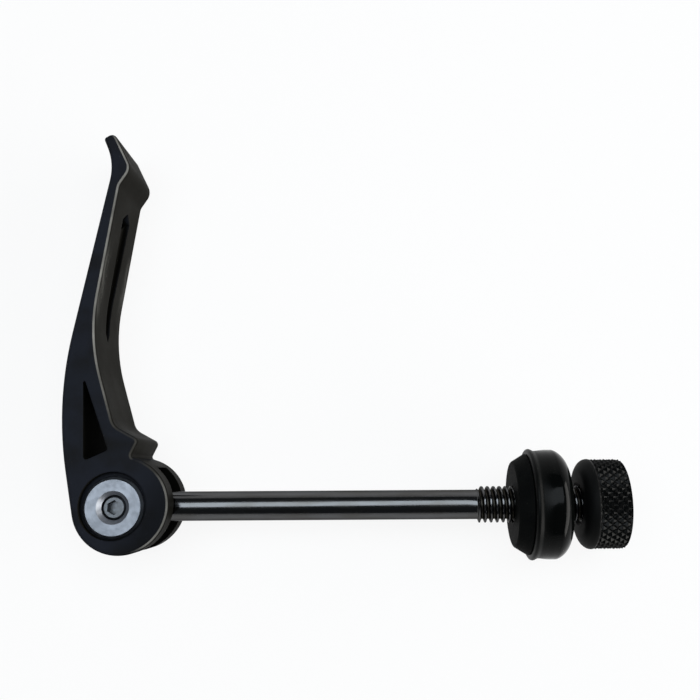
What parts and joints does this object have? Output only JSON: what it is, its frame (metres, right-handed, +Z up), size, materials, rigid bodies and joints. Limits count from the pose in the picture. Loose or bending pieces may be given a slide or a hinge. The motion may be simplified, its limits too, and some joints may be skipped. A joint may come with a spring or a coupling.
{
  "type": "seat binder bolt",
  "caption": "Quick-release seat binder bolt: a forked cam lever on a cross barrel, a plated rod, a cup washer with a flat-faced insert, and a knurled thumb nut.",
  "frame": {"origin": "middle of the bolt's outline on the surface that it lies on", "axes": "+X along the rod towards the nut, +Y up the lever, +Z up from the surface; the rod leans by 2 degrees because the bolt rests on the cup's rim and the lever's cheek"},
  "size_m": [0.0922, 0.0722, 0.0183],
  "materials": {
    "lever_paint": "satin black paint on cast alloy",
    "barrel_zinc": "bright plated turned steel",
    "screw_steel": "plated steel",
    "rod_plating": "dark polished plating",
    "cup_enamel": "gloss black",
    "insert_plastic": "matt black moulded",
    "nut_black": "black, knurled band"
  },
  "bodies": {
    "skewer": {"rod": "rod_plating", "pivot_barrel": "barrel_zinc", "set_screw": "screw_steel"},
    "lever": {"lever": "lever_paint"},
    "washer": {"cup_washer": "cup_enamel", "seat_insert": "insert_plastic"},
    "nut": {"knurled_nut": "nut_black"}
  },
  "joints": [
    {"name": "lever_pivot", "type": "hinge", "parent": "skewer", "child": "lever", "pos_m": [-0.03701, -0.02694, 0.00679], "axis": [-0.0347, 0, 0.9994], "range_deg": [-20, 200]},
    {"name": "washer_slide", "type": "slide", "parent": "skewer", "child": "washer", "axis": [0.9994, 0, 0.0347], "range_m": [-0.014, 0.004]},
    {"name": "nut_spin", "type": "hinge", "parent": "washer", "child": "nut", "pos_m": [0.04234, -0.02694, 0.00954], "axis": [0.9994, 0, 0.0347], "range_deg": [-5076, 1476]}
  ],
  "couplings": [
    {"joint": "nut_spin", "follows": "washer_slide", "rad_per_m": 6283.2}
  ]
}
